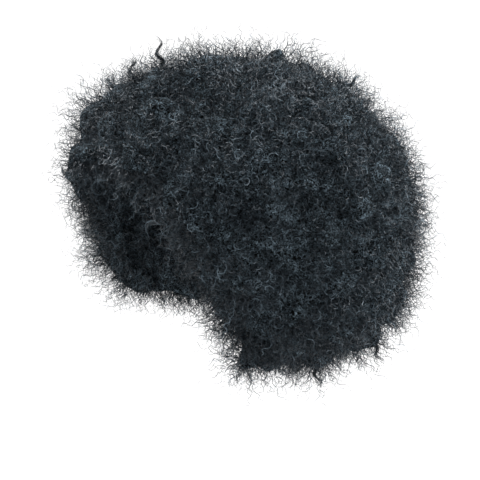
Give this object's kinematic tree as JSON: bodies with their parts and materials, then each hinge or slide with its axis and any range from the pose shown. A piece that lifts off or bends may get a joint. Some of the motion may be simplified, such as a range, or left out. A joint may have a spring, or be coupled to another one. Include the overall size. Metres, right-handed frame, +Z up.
{
  "type": "afro wig",
  "caption": "Full round afro wig of tightly curled hair on a close-fitting cap, open at the face and neck, in the form it keeps on a head.",
  "frame": {"origin": "the crown of the wearer's head: the highest point inside the cap, where the wig sits on the head", "axes": "+Z up out of the crown of an upright head, -Y the way the face looks, +X the wearer's left"},
  "size_m": [0.3456, 0.3318, 0.2788],
  "materials": {
    "cap_net": "matt black stretch net sewn with weft rows",
    "hair": "tightly crimped black synthetic fibre with a soft grey sheen"
  },
  "bodies": {
    "root": {"cap": "cap_net", "hair_crown": "hair", "hair_fringe": "hair", "hair_left": "hair", "hair_right": "hair", "hair_back": "hair", "hair_nape": "hair"}
  },
  "joints": []
}
